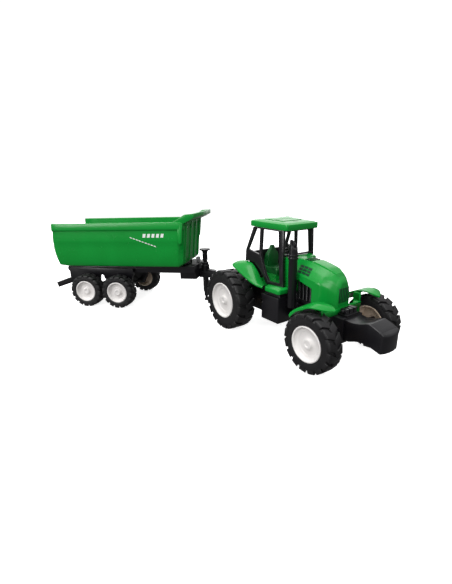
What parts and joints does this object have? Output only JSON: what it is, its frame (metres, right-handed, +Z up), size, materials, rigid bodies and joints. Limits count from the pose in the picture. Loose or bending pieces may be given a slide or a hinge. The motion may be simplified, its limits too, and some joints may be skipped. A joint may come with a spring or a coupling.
{
  "type": "toy tractor",
  "caption": "Toy farm tractor with open cab and lugged tyres, coupled by a turning hitch pin to a tandem-axle tipping trailer with jack leg.",
  "frame": {"origin": "centre of the whole model's footprint, on the ground, with the trailer turned as in its rest pose", "axes": "+X is the tractor's forward direction, +Y is its left side, +Z is up; the trailer points 42.9 degrees to the left of +X at rest"},
  "size_m": [0.4766, 0.2484, 0.1332],
  "materials": {
    "black_body": "semi-gloss moulded black plastic",
    "dark_trim": "dark louvres",
    "decal": "white stick-on stripes",
    "green_shell": "glossy moulded green plastic",
    "grey_body": "dark grey plastic",
    "rim": "off-white moulded plastic",
    "steel": "bare steel rod",
    "tyre": "matte black lugged tread"
  },
  "bodies": {
    "tractor": {"chassis": "black_body", "engine_block": "black_body", "hood": "green_shell", "grille": "dark_trim", "hood_vents": "dark_trim", "cab_floor": "black_body", "dashboard": "black_body", "seat": "green_shell", "steering_wheel": "black_body", "cab_side_left": "black_body", "cab_side_right": "black_body", "cab_rear_frame": "black_body", "windscreen_frame": "black_body", "cab_roof": "green_shell", "rear_fender_left": "green_shell", "rear_fender_right": "green_shell", "exhaust": "black_body", "side_tank_left": "black_body", "side_tank_right": "black_body", "front_axle_beam": "black_body", "front_fender_bar": "green_shell", "front_fender_left": "green_shell", "front_fender_right": "green_shell", "front_weight": "black_body", "front_hitch_block": "black_body", "tow_bar": "black_body", "hitch_pin": "black_body", "chassis_screws": "steel"},
    "rear_wheels": {"rear_axle": "black_body", "rear_rim_left": "rim", "rear_rim_right": "rim", "rear_tyre_left": "tyre", "rear_tyre_right": "tyre"},
    "front_wheels": {"front_axle": "black_body", "front_rim_left": "rim", "front_rim_right": "rim", "front_tyre_left": "tyre", "front_tyre_right": "tyre"},
    "trailer": {"trailer_chassis": "black_body", "bogie_left": "black_body", "bogie_right": "black_body", "drawbar": "black_body", "tub_rest": "grey_body", "rear_tow_eye": "black_body", "tub_hinge_pin": "steel"},
    "tub": {"tub": "green_shell", "tub_decals": "decal"},
    "jack": {"jack_leg": "black_body"},
    "trailer_front_wheels": {"trailer_front_axle": "black_body", "trailer_front_rim_left": "rim", "trailer_front_rim_right": "rim", "trailer_front_tyre_left": "tyre", "trailer_front_tyre_right": "tyre"},
    "trailer_rear_wheels": {"trailer_rear_axle": "black_body", "trailer_rear_rim_left": "rim", "trailer_rear_rim_right": "rim", "trailer_rear_tyre_left": "tyre", "trailer_rear_tyre_right": "tyre"}
  },
  "joints": [
    {"name": "rear_axle_spin", "type": "hinge", "parent": "tractor", "child": "rear_wheels", "pos_m": [0.0507, 0.06966, 0.036], "axis": [0, 1, 0], "continuous": true},
    {"name": "front_axle_spin", "type": "hinge", "parent": "tractor", "child": "front_wheels", "pos_m": [0.1867, 0.06966, 0.029], "axis": [0, 1, 0], "continuous": true},
    {"name": "hitch_yaw", "type": "hinge", "parent": "tractor", "child": "trailer", "pos_m": [-0.0343, 0.06966, 0.042], "axis": [0, 0, 1], "range_deg": [-122.9, 37.1]},
    {"name": "trailer_front_axle_spin", "type": "hinge", "parent": "trailer", "child": "trailer_front_wheels", "pos_m": [-0.13686, -0.02564, 0.0237], "axis": [-0.6807, 0.7325, 0], "continuous": true},
    {"name": "trailer_rear_axle_spin", "type": "hinge", "parent": "trailer", "child": "trailer_rear_wheels", "pos_m": [-0.17304, -0.05927, 0.0237], "axis": [-0.6807, 0.7325, 0], "continuous": true},
    {"name": "tub_tip", "type": "hinge", "parent": "trailer", "child": "tub", "pos_m": [-0.20057, -0.08485, 0.05057], "axis": [0.6807, -0.7325, 0], "range_deg": [0, 45]},
    {"name": "jack_slide", "type": "slide", "parent": "trailer", "child": "jack", "axis": [0, 0, 1], "range_m": [-0.0022, 0.01]}
  ]
}
